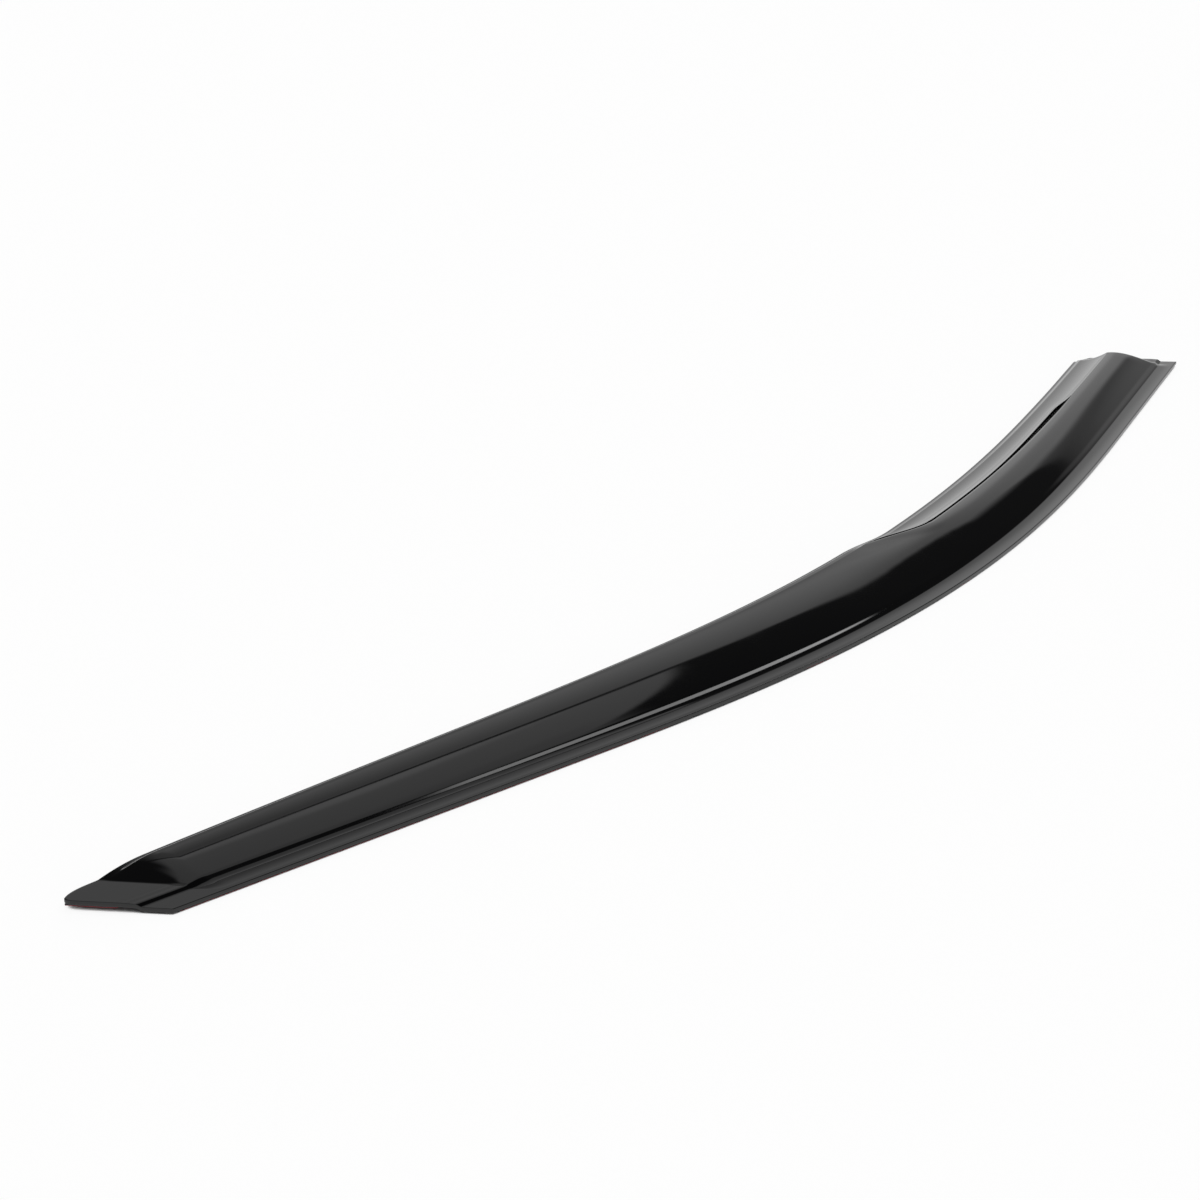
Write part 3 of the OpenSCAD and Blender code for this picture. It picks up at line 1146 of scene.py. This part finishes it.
@dataclass(frozen=True)
class SoftLight:
    """One lit or dark patch of the studio, by direction as the camera sees it.

    Attributes:
        turn: Left and right limits, in degrees to the camera's right of straight ahead.
        rise: Lower and upper limits, in degrees over the horizon.
        soft: Widths of its soft borders at the sides and at the top and bottom, in degrees.
        level: Brightness at the lower and at the upper end of the fade, where 1 is white.
        lean: How much the lower and the upper limit rise for each degree to the right.
        fade: Where the fade begins and ends, in degrees over the horizon.
    """

    turn: Point2
    rise: Point2
    soft: Point2
    level: Point2
    lean: Point2 = (0.0, 0.0)
    fade: Point2 = (0.0, 90.0)

    def share(self, g: Graph, turn: Socket, rise: Socket) -> Value:
        """Work out how much of the patch a direction sees.

        Args:
            g: The world's nodes.
            turn: The direction's angle to the right.
            rise: Its angle over the horizon.

        Returns:
            The share, 0 to 1.
        """
        side, end = self.soft[0] / 2, self.soft[1] / 2
        found: Value = 1.0
        for k, to in enumerate(((0.0, 1.0), (1.0, 0.0))):
            leaning = g.math("MULTIPLY_ADD", turn, -self.lean[k], rise) if self.lean[k] else rise
            for value, limit, half in ((turn, self.turn[k], side), (leaning, self.rise[k], end)):
                if abs(limit) < NO_LIMIT:
                    border = g.between(value, limit - half, limit + half, to=to)
                    found = g.math("MULTIPLY", found, border)
        return found

    def shine(self, g: Graph, rise: Socket) -> Value:
        """Return the patch's brightness at a rise."""
        low, high = self.level
        return low if low == high else g.between(rise, *self.fade, easing=Easing.LINEAR, to=self.level)


@dataclass
class Studio:
    """White floor, soft studio light and the camera at the photo's angle."""

    # Camera: its place, the point that it looks at, its lens, its sensor's width, its limits in metres.
    camera_at: Point3 = (-819.1, -952.9, 734.5)
    camera_to: Point3 = (350.4, 102.5, 0.0)
    lens: float = 81.55
    sensor: float = 36.0
    clip: Point2 = (0.01, 50.0)
    # Floor: half its width in metres, its brightness to the camera, and the grey that lights the object.
    floor_reach: float = 9.0
    floor_glow: float = 0.872
    floor_color: float = 0.24
    # Shade by the object: its reach, the open shares at which the floor is dark and bright, and the rays.
    shade_reach: float = 45.0
    shade_span: Point2 = (0.26, 0.5)
    shade_samples: int = 8
    # Brightness where no patch lies, and the patches, each painted over those before it.
    around: float = 0.75
    patches: tuple[SoftLight, ...] = (
        # Pale walls and ceiling.
        SoftLight((-180.0, 180.0), (15.0, 110.0), (12.0, 12.0), (0.9, 0.9)),
        # Dark ahead and to the right, with a dim spot low in it.
        SoftLight((-34.0, 135.0), (14.0, 85.0), (6.0, 6.0), (0.03, 0.03)),
        SoftLight((22.0, 34.0), (19.0, 33.0), (8.0, 8.0), (0.3, 0.3)),
        # Low light on the left that fades as it rises, with a dimmer strip across it.
        SoftLight((-60.0, 28.0), (-20.0, 46.8), (6.0, 1.2), (1.2, 0.45), (0.0, -0.62), (24.0, 44.0)),
        SoftLight((-60.0, 8.0), (26.5, 31.5), (6.0, 3.0), (0.6, 0.6), (0.0, -0.3)),
        # Light over it, brightest at its lower border, and the thin dark line between the two.
        SoftLight((-60.0, 27.0), (46.8, 82.0), (4.0, 3.0), (0.7, 0.7), (-0.62, 0.0)),
        SoftLight((-60.0, 8.0), (46.8, 51.0), (4.0, 4.0), (0.98, 0.98), (-0.62, -0.3)),
        SoftLight((-34.0, 12.0), (46.2, 47.6), (3.0, 0.8), (0.08, 0.08), (-0.62, -0.62)),
        # Dark wedge on the right.
        SoftLight((9.0, 60.0), (46.8, 30.6), (3.0, 1.0), (0.05, 0.05), (-0.62, 0.85)),
        # Low light beside the wedge, and a high one over it.
        SoftLight((15.0, 28.0), (-20.0, 41.1), (6.0, 1.6), (0.95, 0.62), (0.0, -0.25), (22.0, 36.0)),
        SoftLight((20.0, 57.0), (44.5, 80.0), (4.0, 3.0), (0.62, 0.62), (0.28, 0.0)),
        # Dark far left.
        SoftLight((-120.0, -20.0), (10.0, 65.0), (14.0, 12.0), (0.06, 0.06), (0.0, -0.3)),
        # Low light on the right.
        SoftLight((27.0, 60.0), (-20.0, 24.8), (5.0, 3.0), (0.62, 0.3), (0.0, 0.0), (20.5, 23.5)),
        # Lamp that gives the thin highlight on the riser, and the dark above it.
        SoftLight((52.4, 70.0), (41.9, -62.0), (3.2, 1.6), (6.0, 3.3), (0.0, 2.08), (43.0, 54.0)),
        SoftLight((56.0, 75.0), (59.6, 80.0), (2.0, 1.6), (0.05, 0.05)),
    )

    def ahead(self) -> float:
        """Return the camera's heading, in radians from +X."""
        return math.atan2(self.camera_to[1] - self.camera_at[1], self.camera_to[0] - self.camera_at[0])

    def light(self) -> None:
        """Build the world: a studio for the object, plain white for the camera."""
        world = bpy.data.worlds.new("studio")
        bpy.context.scene.world = world
        g = empty_graph(world)
        ray = g.add("ShaderNodeTexCoord").outputs["Generated"]
        turned = g.add("ShaderNodeVectorRotate", {"Vector": ray, "Angle": math.pi / 2 - self.ahead()},
                       rotation_type="Z_AXIS")
        part = g.add("ShaderNodeSeparateXYZ", {0: turned.outputs[0]}).outputs
        turn = g.math("DEGREES", g.math("ARCTAN2", part[0], part[1]))
        rise = g.math("DEGREES", g.math("ARCSINE", part[2]))
        level: Value = self.around
        for patch in self.patches:
            level = g.blend(patch.share(g, turn, rise), level, patch.shine(g, rise))
        seen = g.add("ShaderNodeLightPath").outputs["Is Camera Ray"]
        strength = g.blend(seen, level, 1.0)
        lit = g.add("ShaderNodeBackground", {"Color": (1.0, 1.0, 1.0, 1.0), "Strength": strength})
        g.add("ShaderNodeOutputWorld", {"Surface": lit.outputs[0]})

    def floor(self) -> bpy.types.Object:
        """Build the floor, which looks white and keeps the object's shadow.

        Returns:
            The floor.
        """
        r = self.floor_reach / MM
        floor = new_object("floor", [(-r, -r, 0), (r, -r, 0), (r, r, 0), (-r, r, 0)], [(0, 1, 2, 3)])
        material = bpy.data.materials.new("white_floor")
        g = empty_graph(material)
        c = self.floor_color
        matt = g.add("ShaderNodeBsdfDiffuse", {"Color": (c, c, c, 1.0)})
        path = g.add("ShaderNodeLightPath").outputs
        seen = g.math("MAXIMUM", path["Is Camera Ray"],
                      g.math("MAXIMUM", path["Is Glossy Ray"], path["Is Transmission Ray"]))
        shade = g.add("ShaderNodeAmbientOcclusion", {"Distance": self.shade_reach * MM},
                      samples=self.shade_samples)
        lit = g.math("MULTIPLY", seen, g.between(shade.outputs["AO"], *self.shade_span))
        glow = g.add("ShaderNodeEmission", {"Strength": g.math("MULTIPLY", lit, self.floor_glow)})
        both = g.add("ShaderNodeAddShader", {0: matt.outputs[0], 1: glow.outputs[0]})
        g.add("ShaderNodeOutputMaterial", {"Surface": both.outputs[0]})
        floor.data.materials.append(material)
        return floor

    def camera(self) -> bpy.types.Object:
        """Build the camera and make it the scene's.

        Returns:
            The camera.
        """
        data = bpy.data.cameras.new("camera")
        data.lens, data.sensor_width, data.sensor_fit = self.lens, self.sensor, "HORIZONTAL"
        data.clip_start, data.clip_end = self.clip
        camera = linked("camera", data)
        start, end = (Vector(p) * MM for p in (self.camera_at, self.camera_to))
        camera.location = start
        camera.rotation_mode = "QUATERNION"
        camera.rotation_quaternion = (end - start).to_track_quat("-Z", "Y")
        bpy.context.scene.camera = camera
        return camera

    def build(self) -> None:
        """Build the whole studio."""
        scene = bpy.context.scene
        scene.view_settings.view_transform = "Standard"
        self.light()
        self.floor()
        self.camera()


def report(piece: bpy.types.Object) -> None:
    """Log a piece's name and its number of faces."""
    log.info("%s: %d faces", piece.name, len(piece.data.polygons))


def main() -> None:
    """Build the studio and the part's pieces, in order."""
    logging.basicConfig(level=logging.INFO, format="%(name)s: %(message)s")
    Studio().build()
    edge = FlangeEdge()
    corners = [(x, y, 0.0) for x, y in edge.points]
    path = new_object("flange_path", corners, [], [(i, i + 1) for i in range(len(corners) - 1)])
    report(AcrylicShell(PolishedAcrylic()).build(PathBend(), path))
    bpy.data.objects.remove(path)
    foam, film = ClosedCellFoam().material(), ReleaseFilm().material()
    sweep, tape = StripSweep(), FlangeTape(edge)
    report(tape.build(sweep, Slot.FOAM, foam))
    report(tape.build(sweep, Slot.LINER, film))
    log.info("dressed: %s", ", ".join(TabPads(foam, film).dress()))


if __name__ == "__main__":
    main()
